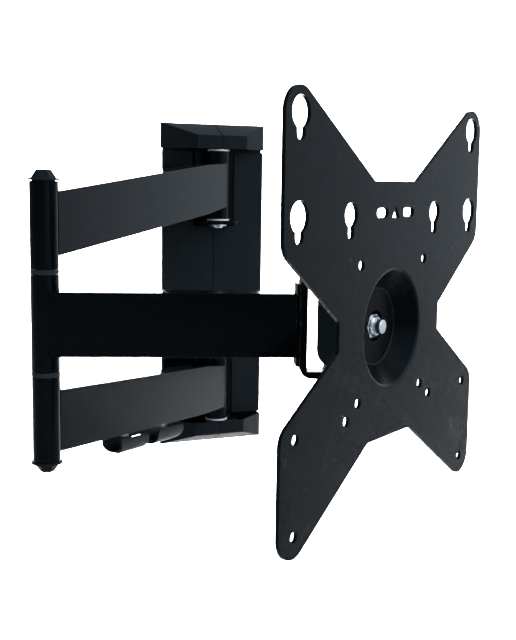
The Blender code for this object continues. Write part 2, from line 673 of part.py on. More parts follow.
def cable_clip(swing):
    """Moulded trough under the lower inner arm, whose two front lips leave a slot for a cable."""
    slope = math.atan2(ARM_LEVEL_AT_WALL - ARM_LEVEL_AT_ELBOW, INNER_ARM_LENGTH)
    underside = axis_empty("clip_line", swing, (
        INNER_ARM_LENGTH, 0.0, -ARM_LEVEL_AT_ELBOW - ARM_HEIGHT / 2.0))
    underside.rotation_euler = (0.0, slope, math.pi)
    clip = solid("cable_clip", prism(clip_section(), CLIP_START, CLIP_END, "X"), PLASTIC, underside)
    bottom = -CLIP_DROP - CLIP_RADIUS
    below = bottom - 1.0 * MM
    lip = -CLIP_DROP + CLIP_RADIUS * math.sin(math.radians(CLIP_LIP_ANGLE))
    wide = 2.0 * CLIP_RADIUS
    for end, inward, start_angle, end_angle in ((CLIP_START, 1.0, 270.0, 180.0),
                                                (CLIP_END, -1.0, -90.0, 0.0)):
        centre = (end + CLIP_END_CORNER * inward, bottom + CLIP_END_CORNER)
        beyond = end - 2.0 * MM * inward
        corner = arc(centre, CLIP_END_CORNER, start_angle, end_angle, 8)
        outline = [(centre[0], below)] + corner + [(beyond, centre[1]), (beyond, below)]
        cut(clip, prism(outline, -wide, wide, "Y"))
    radius = CLIP_LIP_CORNER
    over = lip + 0.5 * MM
    left = arc((CLIP_GAP_START - radius, lip - radius), radius, 90.0, 0.0, 6)
    right = arc((CLIP_GAP_END + radius, lip - radius), radius, 180.0, 90.0, 6)
    gap = [(CLIP_GAP_START - radius, over)] + left + [(CLIP_GAP_START, below), (CLIP_GAP_END, below)]
    gap += right + [(CLIP_GAP_END + radius, over)]
    cut(clip, prism(gap, -wide, -1.0 * MM, "Y"))
    floor_gap = rectangle(CLIP_GAP_START, CLIP_GAP_END, below, CLIP_GAP_TOP)
    cut(clip, prism(floor_gap, -1.5 * MM, wide, "Y"))
    holes = bmesh.new()
    head_high = -CLIP_STRIP - 2.0 * GAP
    head_low = head_high - CLIP_SCREW_HEAD
    for number, station in enumerate(CLIP_SCREW_STATIONS):
        clip_screw_hole(station, holes)
        head = circle(CLIP_SCREW_HEAD_RADIUS, SCREW_ROUND, (station, 0.0))
        screw = solid(f"clip_screw_{number + 1}", prism(head, head_low, head_high), ZINC, underside)
        shank = circle(CLIP_SCREW_SHANK, SCREW_ROUND, (station, 0.0))
        join(screw, prism(shank, head_low + CLIP_SCREW_HEAD / 2.0, CLIP_SCREW_END))
    cut(clip, holes)
    return underside


def inner_arms(swing, elbow):
    upper = inner_arm_tube("upper_arm_tube", 1.0, swing)
    hole = obround(INNER_ARM_LENGTH - 80.0 * MM, 0.0, 2.5 * MM, 2.2 * MM)
    level = arm_level(INNER_ARM_LENGTH - 80.0 * MM)
    cut(upper, prism(hole, level, level + ARM_HEIGHT, "Z"))
    lower = inner_arm_tube("lower_arm_tube", -1.0, swing)
    inner_arm_sleeves("upper", 1.0, swing, elbow)
    inner_arm_sleeves("lower", -1.0, swing, elbow)
    elbow_bolt(elbow)
    elbow_cap("elbow_cap_top", 1.0, elbow)
    elbow_cap("elbow_cap_bottom", -1.0, elbow)
    underside = cable_clip(swing)
    taps = bmesh.new()
    for station in CLIP_SCREW_STATIONS:
        clip_screw_hole(station, taps)
    cut(lower, taps)
    bpy.data.objects[lower.modifiers[-1].object.name].parent = underside


# ---------------------------------------------------------------- outer arm

def outer_arm(elbow):
    """Tube, elbow sleeve with its ring bushes, end plate and U bracket."""
    arm_end = OUTER_ARM_LENGTH - BRACKET_WEB - BRACKET_GAUGE - END_PLATE - 2.0 * GAP
    half = ARM_THICKNESS / 2.0
    tall = OUTER_ARM_HEIGHT / 2.0
    arm = solid("outer_arm_tube", prism(rectangle(0.0, arm_end, -half, half), -tall, tall), STEEL, elbow)
    hollow = rectangle(-5.0 * MM, arm_end + 5.0 * MM, -half + ARM_WALL, half - ARM_WALL)
    cut(arm, prism(hollow, -tall + ARM_WALL, tall - ARM_WALL))
    cut(arm, rod(SLEEVE_RADIUS + 1.5 * GAP, -COLUMN_HEIGHT, COLUMN_HEIGHT, segments=ROUND))
    sleeve = tube(SLEEVE_RADIUS, SLEEVE_BORE, -MIDDLE_SLEEVE_HALF, MIDDLE_SLEEVE_HALF)
    solid("outer_arm_sleeve", sleeve, STEEL, elbow)
    for name, side in (("elbow_bush_upper", 1.0), ("elbow_bush_lower", -1.0)):
        face = MIDDLE_SLEEVE_HALF + GAP
        outside = ELBOW_SLEEVE_LOW - GAP
        spigot = SLEEVE_BORE - GAP
        tip = MIDDLE_SLEEVE_HALF - BUSH_SPIGOT
        profile = [(ELBOW_SHAFT_BORE, tip), (spigot, tip), (spigot, face), (SLEEVE_RADIUS, face),
                   (SLEEVE_RADIUS, outside), (ELBOW_SHAFT_BORE, outside)]
        profile = [(radius, height * side) for radius, height in profile]
        solid(name, turned(profile), BUSH_BLACK, elbow)
    plate_start = arm_end + GAP
    wide = BRACKET_HALF_WIDTH + 0.2 * MM
    high = BRACKET_HALF_HEIGHT - BRACKET_BEND
    end_plate = rounded([(-wide, -high, 1.5 * MM), (wide, -high, 1.5 * MM),
                         (wide, high, 1.5 * MM), (-wide, high, 1.5 * MM)], 4)
    end_plate = prism(end_plate, plate_start, plate_start + END_PLATE, "X")
    solid("arm_end_plate", end_plate, STEEL, elbow)


def head_bracket(swivel_fixed):
    """U bracket, in the frame of the swivel axis with +X along the outer arm."""
    web = -BRACKET_WEB
    back = web - BRACKET_GAUGE
    high = BRACKET_HALF_HEIGHT
    inside = high - BRACKET_GAUGE
    fillet = 0.8 * MM
    reach = BRACKET_REACH
    profile = [(back, -high, BRACKET_BEND), (reach, -high, 0.0), (reach, -inside, 0.0),
               (web, -inside, fillet), (web, inside, fillet), (reach, inside, 0.0),
               (reach, high, 0.0), (back, high, BRACKET_BEND)]
    half = BRACKET_HALF_WIDTH
    bracket = solid("head_bracket", prism(rounded(profile), -half, half, "Y"), STEEL, swivel_fixed)
    beyond = back - 5.0 * MM
    wide = half + 1.0 * MM
    shoulder = reach - 7.0 * MM
    nose = half - 2.0 * MM
    nose_corner = 4.0 * MM
    plan = rounded([(beyond, -wide, 0.0), (shoulder, -wide, 0.0), (reach, -nose, nose_corner),
                    (reach, nose, nose_corner), (shoulder, wide, 0.0), (beyond, wide, 0.0)])
    trim(bracket, prism(plan, -2.0 * high, 2.0 * high))
    cut(bracket, rod(SWIVEL_SHANK + GAP, -2.0 * high, 2.0 * high))
    head_low = high + GAP
    head = prism(hexagon(SWIVEL_HEXAGON), head_low, head_low + SWIVEL_HEAD)
    bolt = solid("swivel_bolt", head, ZINC, swivel_fixed)
    join(bolt, rod(SWIVEL_SHANK, -high - SWIVEL_BOLT_END, head_low + OVERLAP))
    hexagon_nut = prism(hexagon(SWIVEL_HEXAGON), -head_low - SWIVEL_NUT, -head_low)
    nut = solid("swivel_nut", hexagon_nut, ZINC, swivel_fixed)
    cut(nut, rod(SWIVEL_SHANK + GAP, -2.0 * high, 0.0))


# ---------------------------------------------------------------- head

def swivel_head(swivel):
    """Cast block on the swivel bolt, slotted at the front for the tilt knuckle."""
    front = BLOCK_FRONT - HEAD_DEPTH
    back = BLOCK_BACK - HEAD_DEPTH
    tilt = TILT_DEPTH - HEAD_DEPTH
    high = BLOCK_HALF_HEIGHT
    front_corner = 3.0 * MM
    side_view = rounded([(front, -high, front_corner), (back, -high, BLOCK_CORNER),
                         (back, high, BLOCK_CORNER), (front, high, front_corner)], 8)
    half = BLOCK_HALF_WIDTH
    block = solid("swivel_block", prism(side_view, -half, half, "X"), CAST, swivel)
    cut(block, rod(SWIVEL_SHANK + GAP, -2.0 * high, 2.0 * high))
    slot_back = tilt + KNUCKLE_ROUND + GAP
    slot = rectangle(-KNUCKLE_SLOT, KNUCKLE_SLOT, front - 5.0 * MM, slot_back)
    cut(block, prism(slot, -BLOCK_POCKET, BLOCK_POCKET))
    bore = bmesh.new()
    tilt_bore = circle(TILT_SHANK + GAP, SMALL_ROUND, (tilt, 0.0))
    prism(tilt_bore, -TILT_BORE_END, 2.0 * half, "X", bore)
    cut(block, bore)
    for name, sign in (("swivel_spacer_top", 1.0), ("swivel_spacer_bottom", -1.0)):
        low = (high + GAP) * sign
        top = (BRACKET_HALF_HEIGHT - BRACKET_GAUGE - GAP) * sign
        spacer = tube(SPACER_RADIUS, SWIVEL_SHANK + GAP, low, top, segments=SMALL_ROUND)
        solid(name, spacer, NYLON, swivel)
    washer_start = half + GAP
    washer_end = washer_start + TILT_WASHER
    washer_outline = circle(TILT_WASHER_RADIUS, SMALL_ROUND, (tilt, 0.0))
    washer = solid("tilt_washer", prism(washer_outline, washer_start, washer_end, "X"), ZINC, swivel)
    cut(washer, prism(tilt_bore, 0.0, 2.0 * half, "X"))
    head_start = washer_end + GAP
    head = [(tilt + x, z) for x, z in hexagon(TILT_HEXAGON)]
    bolt = solid("tilt_bolt", prism(head, head_start, head_start + TILT_HEAD, "X"), ZINC, swivel)
    shank = circle(TILT_SHANK, SMALL_ROUND, (tilt, 0.0))
    join(bolt, prism(shank, -TILT_BOLT_TIP, head_start + OVERLAP, "X"))


def tilt_head(tilt, stud_line):
    """Knuckle with the threaded stud that carries the television plate, at the tilt axis."""
    def depth(value):
        return value - TILT_DEPTH

    face = depth(KNUCKLE_FRONT)
    face_back = face + KNUCKLE_FACE
    rear = arc((0.0, 0.0), KNUCKLE_ROUND, -70.0, 70.0, 14)
    outline = [(face, -KNUCKLE_FACE_HALF), (face_back, -KNUCKLE_FACE_HALF)] + rear
    outline += [(face_back, KNUCKLE_FACE_HALF), (face, KNUCKLE_FACE_HALF)]
    half = KNUCKLE_HALF_WIDTH
    knuckle = solid("tilt_knuckle", prism(outline, -half, half, "X"), CAST, tilt)
    cut(knuckle, rod(TILT_SHANK + GAP, -2.0 * half, 2.0 * half, "X"))
    stud_root = depth(STUD_ROOT)
    bore = STUD_RADIUS + GAP
    stud_hole = rod(bore, face - 2.0 * MM, stud_root + GAP, "Y")
    bmesh.ops.translate(stud_hole, vec=(0.0, 0.0, STUD_RISE), verts=stud_hole.verts)
    cut(knuckle, stud_hole)
    end = depth(STUD_END)
    profile = [(0.0, stud_root), (STUD_RADIUS, stud_root), (STUD_RADIUS, end + STUD_CHAMFER),
               (STUD_RADIUS - STUD_CHAMFER, end), (0.0, end)]
    solid("plate_stud", turned(profile, "Y", SMALL_ROUND), ZINC, stud_line)
    friction = tube(FRICTION_RADIUS, bore, depth(FRICTION_FRONT), depth(FRICTION_BACK), "Y", SMALL_ROUND)
    solid("friction_washer", friction, NYLON, stud_line)
    washer_back = depth(POCKET_DEPTH - GAP)
    washer_front = washer_back - PLATE_WASHER
    washer = tube(PLATE_WASHER_RADIUS, bore, washer_front, washer_back, "Y", ROUND)
    solid("plate_washer", washer, ZINC, stud_line)
    nut_back = washer_front - GAP
    nut_front = nut_back - PLATE_NUT
    hexagon_nut = prism(hexagon(PLATE_NUT_HEXAGON), nut_front, nut_back, "Y")
    nut = solid("plate_nut", hexagon_nut, ZINC, stud_line)
    collar = [(0.0, nut_front + OVERLAP), (COLLAR_RADIUS, nut_front + OVERLAP),
              (COLLAR_RADIUS, nut_front - COLLAR_SHOULDER),
              (COLLAR_TOP_RADIUS, nut_front - COLLAR_HEIGHT), (0.0, nut_front - COLLAR_HEIGHT)]
    join(nut, turned(collar, "Y", SMALL_ROUND))
    cut(nut, rod(bore, -2.0 * TILT_DEPTH, 0.0, "Y"))


def plate_outline():
    half = [
        (BOTTOM_NOTCH[0], BOTTOM_NOTCH[1], NOTCH_RADIUS),
        (PLATE_SIDE, BOTTOM_CORNER, LOBE_RADIUS),
        (PLATE_SIDE, LOWER_SHOULDER, SHOULDER_RADIUS),
        (WAIST_HALF_WIDTH, WAIST_BOTTOM, WAIST_RADIUS),
        (WAIST_HALF_WIDTH, WAIST_TOP, WAIST_RADIUS),
        (PLATE_SIDE, UPPER_SHOULDER, SHOULDER_RADIUS),
        (PLATE_SIDE, TOP_CORNER, LOBE_RADIUS),
        (TOP_NOTCH[0], TOP_NOTCH[1], NOTCH_RADIUS),
    ]
    return rounded(mirrored(half), 8)


def plate_openings():
    """Keyholes, screw holes and the slots above the dish, as outlines from the pattern centre."""
    places = ((OUTER_COLUMN, OUTER_COLUMN, OUTER_KEYHOLE), (OUTER_COLUMN, INNER_COLUMN, OUTER_KEYHOLE),
              (INNER_COLUMN, INNER_COLUMN, INNER_KEYHOLE))
    openings = []
    for side in (-1.0, 1.0):
        for x, y, sizes in places:
            openings.append(keyhole(side * x, y, *sizes))
            openings.append(circle(HOLE_RADIUS, 20, (side * x, -y)))
        for y in (SMALL_SQUARE, -SMALL_SQUARE):
            openings.append(circle(HOLE_RADIUS, 20, (side * SMALL_SQUARE, y - PATTERN_RISE)))
        openings.append(obround(side * SLOT_CENTRE, SLOT_LEVEL, SLOT_HALF_LENGTH, SLOT_RADIUS))
    triangle = [(-TRIANGLE_HALF_WIDTH, TRIANGLE_BASE), (TRIANGLE_HALF_WIDTH, TRIANGLE_BASE),
                (0.0, TRIANGLE_TIP)]
    openings.append(triangle)
    return openings


def dish_profile():
    """Section of the pressed dish: front surface from the rim inwards, then the back surface."""
    rim = DISH_RADIUS + 1.8 * MM
    skim = 0.06 * MM
    front = rounded([(rim, skim, 0.0), (DISH_RADIUS, skim, 2.6 * MM),
                     (DISH_FLOOR_RADIUS, DISH_DEPTH, 1.4 * MM), (POCKET_RADIUS, DISH_DEPTH, 0.8 * MM),
                     (POCKET_RADIUS, POCKET_DEPTH, 0.5 * MM), (STUD_RADIUS + GAP, POCKET_DEPTH, 0.0)],
                    3, closed=False)
    pocket_back = POCKET_DEPTH + TV_PLATE
    pocket_side = POCKET_RADIUS + TV_PLATE
    floor_back = DISH_DEPTH + TV_PLATE
    floor_edge = DISH_FLOOR_RADIUS + 0.9 * MM
    back = rounded([(STUD_RADIUS + GAP, pocket_back, 0.0), (pocket_side, pocket_back, 1.0 * MM),
                    (pocket_side, floor_back, 0.6 * MM), (floor_edge, floor_back, 3.6 * MM),
                    (DISH_RADIUS + 1.0 * MM, TV_PLATE - skim, 0.0), (rim, TV_PLATE - skim, 0.0)],
                   3, closed=False)
    return front + back


def television_plate(level):
    """Slotted plate with a pressed dish in its middle, in the frame of the level axis."""
    outline = [(x, y + PATTERN_RISE) for x, y in plate_outline()]
    plate = solid("tv_plate", prism(outline, 0.0, TV_PLATE, "Y"), STEEL, level)
    openings = bmesh.new()
    for opening in plate_openings():
        lifted = [(x, y + PATTERN_RISE) for x, y in opening]
        prism(lifted, -TV_PLATE, 2.0 * TV_PLATE, "Y", openings)
    prism(circle(DISH_RADIUS + 0.6 * MM, ROUND), -TV_PLATE, 2.0 * TV_PLATE, "Y", openings)
    cut(plate, openings)
    join(plate, turned(dish_profile(), "Y"))


# ---------------------------------------------------------------- assembly

for leftover in list(bpy.data.objects):
    bpy.data.objects.remove(leftover, do_unlink=True)

STEEL = material("black powder coated steel", (0.022, 0.026, 0.030), 0.38, 0.0)
PLASTIC = material("black moulded plastic", (0.026, 0.029, 0.032), 0.45, 0.0)
BUSH_BLACK = material("black acetal", (0.014, 0.015, 0.016), 0.25, 0.0)
CAST = material("black painted casting", (0.024, 0.027, 0.030), 0.45, 0.0)
ZINC = material("zinc plated steel", (0.72, 0.74, 0.76), 0.28, 1.0)
NYLON = material("natural nylon", (0.74, 0.75, 0.74), 0.45, 0.0)

wall_column()

wall_axis = axis_empty("wall_axis", None, (0.0, -WALL_AXIS_OUT, 0.0), INNER_ARM_ANGLE)
elbow_rest = axis_empty("elbow_rest", wall_axis, (INNER_ARM_LENGTH, 0.0, 0.0))
inner_arms(wall_axis, elbow_rest)

elbow_axis = axis_empty("elbow_axis", wall_axis, (INNER_ARM_LENGTH, 0.0, 0.0),
                        OUTER_ARM_HEADING - INNER_ARM_ANGLE)
outer_arm(elbow_axis)
arm_tip = axis_empty("arm_tip", elbow_axis, (OUTER_ARM_LENGTH, 0.0, 0.0))
head_bracket(arm_tip)

swivel_axis = axis_empty("swivel_axis", elbow_axis, (OUTER_ARM_LENGTH, 0.0, 0.0),
                         PLATE_YAW - OUTER_ARM_HEADING)
swivel_head(swivel_axis)
tilt_axis = axis_empty("tilt_axis", swivel_axis, (0.0, TILT_DEPTH - HEAD_DEPTH, 0.0))
stud_axis = axis_empty("stud_axis", tilt_axis, (0.0, 0.0, STUD_RISE))
tilt_head(tilt_axis, stud_axis)
level_axis = axis_empty("level_axis", stud_axis, (0.0, -TILT_DEPTH, 0.0))
television_plate(level_axis)
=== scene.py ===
import json
import math

import bmesh
import bpy
from mathutils import Matrix, Vector


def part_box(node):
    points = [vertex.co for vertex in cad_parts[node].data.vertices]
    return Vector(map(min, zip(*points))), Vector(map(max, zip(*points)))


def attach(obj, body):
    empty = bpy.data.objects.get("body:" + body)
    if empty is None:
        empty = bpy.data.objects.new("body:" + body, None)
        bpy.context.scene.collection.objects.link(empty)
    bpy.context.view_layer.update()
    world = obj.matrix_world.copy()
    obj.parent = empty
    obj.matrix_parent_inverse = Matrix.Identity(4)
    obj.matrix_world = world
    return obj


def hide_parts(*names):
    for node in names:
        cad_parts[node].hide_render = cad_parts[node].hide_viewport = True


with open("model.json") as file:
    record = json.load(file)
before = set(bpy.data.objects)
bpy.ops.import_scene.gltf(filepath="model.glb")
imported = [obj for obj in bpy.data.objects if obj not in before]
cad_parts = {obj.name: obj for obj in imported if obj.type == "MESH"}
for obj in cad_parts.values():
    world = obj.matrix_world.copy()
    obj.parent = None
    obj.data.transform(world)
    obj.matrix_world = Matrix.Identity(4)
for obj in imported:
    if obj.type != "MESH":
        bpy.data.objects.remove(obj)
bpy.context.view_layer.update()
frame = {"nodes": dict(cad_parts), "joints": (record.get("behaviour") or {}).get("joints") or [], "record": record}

MM = 0.001
BODIES = frame["record"]["behaviour"]["bodies"]
JOINTS = {joint["name"]: joint for joint in frame["joints"]}
BODY_OF = {node: body for body, members in BODIES.items() for node in members}

# Edges: how far each kind of piece is rounded
PRESSED_EDGE = 0.35 * MM
TUBE_CORNER = 0.9 * MM              # along the arm tubes
TUBE_END_EDGE = 0.25 * MM
SLEEVE_EDGE = 0.35 * MM
CAP_EDGE = 0.8 * MM                 # of the two hipped caps
MOULDED_EDGE = 0.3 * MM             # of every other moulding
CAST_EDGE = 1.1 * MM
KNUCKLE_EDGE = 0.4 * MM
FASTENER_EDGE = 0.3 * MM
BUSH_EDGE = 0.15 * MM
WASHER_EDGE = 0.12 * MM

# Television plate, from the centre of its 200 mm pattern
PLATE_GAUGE = 2.3 * MM
PATTERN_RISE = 4.6 * MM
PLATE_SIDE = 113.7 * MM
TOP_NOTCH = (25.0 * MM, 77.8 * MM)
TOP_CORNER = 133.2 * MM
UPPER_SHOULDER = 42.5 * MM
WAIST_HALF_WIDTH = 59.5 * MM
WAIST_TOP = 4.6 * MM
WAIST_BOTTOM = -11.5 * MM
LOWER_SHOULDER = -46.0 * MM
BOTTOM_CORNER = -122.3 * MM
BOTTOM_NOTCH = (25.5 * MM, -66.8 * MM)
LOBE_RADIUS = 13.3 * MM
SHOULDER_RADIUS = 12.0 * MM
WAIST_RADIUS = 2.5 * MM
NOTCH_RADIUS = 4.0 * MM
HOLE_RADIUS = 3.0 * MM
OUTER_COLUMN = 100.0 * MM
INNER_COLUMN = 50.0 * MM
SMALL_SQUARE = 37.5 * MM            # half the side of the 75 mm pattern, centred on the stud
OUTER_KEYHOLE = (9.7 * MM, 8.1 * MM, 3.7 * MM)      # head's rise, head's radius, slot's radius
INNER_KEYHOLE = (9.9 * MM, 6.6 * MM, 3.0 * MM)
SLOT_LEVEL = 60.5 * MM
SLOT_CENTRE = 15.5 * MM
SLOT_HALF_LENGTH = 4.0 * MM
SLOT_RADIUS = 2.6 * MM
TRIANGLE_HALF_WIDTH = 4.2 * MM
TRIANGLE_BASE = 57.6 * MM
TRIANGLE_TIP = 64.4 * MM
DISH_RIM = 35.2 * MM
DISH_RADIUS = 33.4 * MM
DISH_FLOOR_RADIUS = 22.2 * MM
DISH_DEPTH = 11.0 * MM
DISH_BLEND = 0.9 * MM               # what the dish's fillets take from its floor and its wall, left out of its painted shade
POCKET_RADIUS = 8.6 * MM
POCKET_DEPTH = 17.5 * MM
STUD_HOLE = 4.45 * MM
RIM_FILLET = 2.6 * MM               # fillets on the dish's front, from the rim inwards
FLOOR_FILLET = 1.4 * MM
POCKET_RIM_FILLET = 0.9 * MM
POCKET_FLOOR_FILLET = 0.7 * MM
POCKET_BACK_FILLET = 1.6 * MM       # fillets behind it, from the stud outwards
POCKET_ROOT_FILLET = 0.8 * MM
FLOOR_BACK_FILLET = 4.2 * MM
RIM_BACK_FILLET = 0.8 * MM
FLOOR_BACK_SPREAD = 0.9 * MM        # how far the back of the wall stands outside its front
RIM_BACK_SPREAD = 1.0 * MM

# Steps of the round shapes
DISH_SEGMENTS = 128
HOLE_SEGMENTS = 48
OUTLINE_STEPS = 18
FILLET_STEPS = 7
SLOT_END_STEPS = 14
KEYHOLE_SLOT_STEPS = 20
KEYHOLE_HEAD_STEPS = 44


# ---------------------------------------------------------------- node materials

class Nodes:
    """Short forms for building one material's node tree."""

    def __init__(self, name):
        self.material = bpy.data.materials.new(name)
        self.material.use_nodes = True
        self.tree = self.material.node_tree
        self.shader = self.tree.nodes["Principled BSDF"]
        self.place = self.add("ShaderNodeTexCoord").outputs["Object"]

    def add(self, kind, **settings):
        node = self.tree.nodes.new(kind)
        for key, value in settings.items():
            setattr(node, key, value)
        return node

    def link(self, source, target):
        self.tree.links.new(source, target)

    def stretched(self, scale):
        """Object coordinates, stretched by the scale along each axis."""
        mapping = self.add("ShaderNodeMapping")
        mapping.inputs["Scale"].default_value = scale
        self.link(self.place, mapping.inputs["Vector"])
        return mapping.outputs["Vector"]

    def noise(self, size, detail=3.0, roughness=0.55, place=None):
        """Noise whose features are about the given size in metres."""
        node = self.add("ShaderNodeTexNoise")
        node.inputs["Scale"].default_value = 1.0 / size
        node.inputs["Detail"].default_value = detail
        node.inputs["Roughness"].default_value = roughness
        self.link(place or self.place, node.inputs["Vector"])
        return node.outputs["Fac"]

    def ramp(self, source, stops):
        node = self.add("ShaderNodeValToRGB")
        ramp = node.color_ramp
        while len(ramp.elements) < len(stops):
            ramp.elements.new(0.5)
        for element, (position, colour) in zip(ramp.elements, stops):
            element.position = position
            element.color = (*colour, 1.0)
        self.link(source, node.inputs["Fac"])
        return node.outputs["Color"]

    def spread(self, source, low, high, start=0.3, end=0.7):
        """A value from low to high as the source goes from start to end."""
        node = self.add("ShaderNodeMapRange")
        node.inputs["From Min"].default_value = start
        node.inputs["From Max"].default_value = end
        node.inputs["To Min"].default_value = low
        node.inputs["To Max"].default_value = high
        self.link(source, node.inputs["Value"])
        return node.outputs["Result"]

    def sum(self, first, second, share):
        """first plus share times second."""
        node = self.add("ShaderNodeMath", operation="MULTIPLY_ADD")
        self.link(second, node.inputs[0])
        node.inputs[1].default_value = share
        self.link(first, node.inputs[2])
        return node.outputs["Value"]

    def bump(self, height, strength, distance):
        node = self.add("ShaderNodeBump")
        node.inputs["Strength"].default_value = strength
        node.inputs["Distance"].default_value = distance
        self.link(height, node.inputs["Height"])
        self.link(node.outputs["Normal"], self.shader.inputs["Normal"])

    def colour(self, source):
        self.link(source, self.shader.inputs["Base Color"])

    def roughness(self, source):
        self.link(source, self.shader.inputs["Roughness"])

    def constant(self, socket, value):
        self.shader.inputs[socket].default_value = value


COAT_TINT = (0.62, 0.85, 1.0, 1.0)  # cool cast of what the black finishes mirror
MOTTLING_SIZE = 9.0 * MM
GLOSS_SIZE = 22.0 * MM
PEEL_STRENGTH = 0.14
FLOW_SIZE = 30.0 * MM
PIT_STRENGTH = 0.35
CLOUD_SIZE = 3.5 * MM
TURNING_PITCH = 0.22 * MM
TURNING_DEPTH = 0.012 * MM
BLOOM_SIZE = 2.4 * MM
MACHINING_GRAIN = 0.3 * MM
MACHINING_DEPTH = 0.02 * MM


def tinted(colour, factor):
    return tuple(channel * factor for channel in colour)


def painted(name, colour, roughness, grain, depth, specular):
    """Baked paint: a fine orange-peel skin, slight mottling and softly varying gloss."""
    m = Nodes(name)
    mottling = m.noise(MOTTLING_SIZE, 4.0)
    peel = m.noise(grain, 2.0, 0.5)
    speckle = m.noise(grain * 0.35, 1.0, 0.4)
    m.colour(m.ramp(m.sum(mottling, speckle, 0.35), [
        (0.42, tinted(colour, 0.92)), (0.68, colour), (0.92, tinted(colour, 1.10))]))
    m.roughness(m.spread(m.noise(GLOSS_SIZE, 2.0), roughness - 0.01, roughness + 0.012))
    m.bump(m.sum(peel, speckle, 0.3), PEEL_STRENGTH, depth)
    m.constant("Specular IOR Level", specular)
    m.constant("Specular Tint", COAT_TINT)
    return m.material


def moulded(name, colour, roughness, grain, depth, specular):
    """Spark-eroded plastic: rounded pits with a fine grain over them."""
    m = Nodes(name)
    pits = m.add("ShaderNodeTexVoronoi", feature="SMOOTH_F1")
    pits.inputs["Scale"].default_value = 1.0 / grain
    pits.inputs["Smoothness"].default_value = 0.8
    m.link(m.place, pits.inputs["Vector"])
    fine = m.noise(grain * 0.4, 2.0)
    flow = m.noise(FLOW_SIZE, 3.0, 0.5, m.stretched((1.0, 1.0, 0.35)))
    m.colour(m.ramp(m.sum(flow, fine, 0.25), [
        (0.4, tinted(colour, 0.86)), (0.65, colour), (0.9, tinted(colour, 1.16))]))
    m.roughness(m.spread(fine, roughness - 0.04, roughness + 0.05))
    m.bump(m.sum(fine, pits.outputs["Distance"], 0.8), PIT_STRENGTH, depth)
    m.constant("Specular IOR Level", specular)
    m.constant("Specular Tint", COAT_TINT)
    return m.material


def plated(name, colour, roughness):
    """Bright zinc: a faintly clouded colour over fine turning marks."""
    m = Nodes(name)
    cloud = m.noise(CLOUD_SIZE, 4.0, 0.6)
    turning = m.noise(TURNING_PITCH, 2.0, 0.5, m.stretched((1.0, 1.0, 5.0)))
    warm = (colour[0] * 1.04, colour[1] * 1.03, colour[2] * 0.97)
    m.colour(m.ramp(cloud, [(0.3, tinted(colour, 0.84)), (0.5, colour), (0.72, warm)]))
    m.roughness(m.spread(m.sum(cloud, turning, 0.5), roughness - 0.07, roughness + 0.1, 0.5, 1.0))
    m.bump(turning, 0.12, TURNING_DEPTH)
    m.constant("Metallic", 1.0)
    return m.material


def nylon_finish(name, colour, roughness):
    """Machined nylon: milky, with a faint bloom."""
    m = Nodes(name)
    bloom = m.noise(BLOOM_SIZE, 4.0)
    fine = m.noise(MACHINING_GRAIN, 2.0)
    m.colour(m.ramp(bloom, [
        (0.32, tinted(colour, 0.9)), (0.6, colour), (0.8, tinted(colour, 1.06))]))
    m.roughness(m.spread(fine, roughness - 0.05, roughness + 0.06))
    m.bump(fine, 0.15, MACHINING_DEPTH)
    m.constant("Subsurface Weight", 0.08)
    m.constant("Subsurface Radius", (0.0012, 0.0011, 0.001))
    return m.material


STEEL = painted(
    "powder coated steel", colour=(0.0019, 0.0025, 0.0032), roughness=0.22,
    grain=0.55 * MM, depth=0.010 * MM, specular=0.12)
BRACKET_STEEL = painted(
    "powder coated bracket", colour=(0.0026, 0.0033, 0.0040), roughness=0.36,
    grain=0.55 * MM, depth=0.006 * MM, specular=0.05)
ARM_STEEL = painted(
    "gloss coated arm", colour=(0.0025, 0.0036, 0.0045), roughness=0.14,
    grain=0.6 * MM, depth=0.004 * MM, specular=0.082)
PLATE_STEEL = painted(
    "powder coated plate", colour=(0.0020, 0.0027, 0.0034), roughness=0.27,
    grain=0.5 * MM, depth=0.004 * MM, specular=0.135)
# Darker, duller copy of the plate's finish for the dish's wall and floor: painted shade in the recess
DISH_PAINTED_SHADE = painted(
    "dish painted shade", colour=(0.0016, 0.0021, 0.0026), roughness=0.27,
    grain=0.5 * MM, depth=0.004 * MM, specular=0.05)
CAST = painted(
    "painted casting", colour=(0.0068, 0.0090, 0.0112), roughness=0.32,
    grain=0.9 * MM, depth=0.03 * MM, specular=0.22)
PLASTIC = moulded(
    "moulded cover", colour=(0.0165, 0.0204, 0.0234), roughness=0.46,
    grain=0.32 * MM, depth=0.010 * MM, specular=0.035)
RING = moulded(
    "dark nylon ring", colour=(0.029, 0.038, 0.045), roughness=0.45,
    grain=0.32 * MM, depth=0.006 * MM, specular=0.14)
ZINC = plated("zinc plate", colour=(0.86, 0.91, 0.95), roughness=0.26)
NYLON = nylon_finish("natural nylon", colour=(0.88, 0.91, 0.92), roughness=0.38)


# ---------------------------------------------------------------- mesh tools

SHARP_ANGLE = 32.0                  # degrees between faces that don't shade as one
TUBE_SHARP_ANGLE = 40.0
FLAT_ANGLE = 0.6                    # degrees between triangles that make one flat face
WELD = 0.002 * MM
DISH_WELD = 0.01 * MM
RIM_SLACK = 0.02 * MM


def piece(name, mesh, finish, node):
    """New object, in the row's frame, that stands for a CAD node and rides on its body."""
    data = bpy.data.meshes.new(name)
    mesh.to_mesh(data)
    mesh.free()
    data.materials.append(finish)
    data.shade_smooth()
    data.set_sharp_from_angle(angle=math.radians(SHARP_ANGLE))
    result = bpy.data.objects.new(name, data)
    bpy.context.scene.collection.objects.link(result)
    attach(result, BODY_OF[node])
    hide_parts(node)
    return result


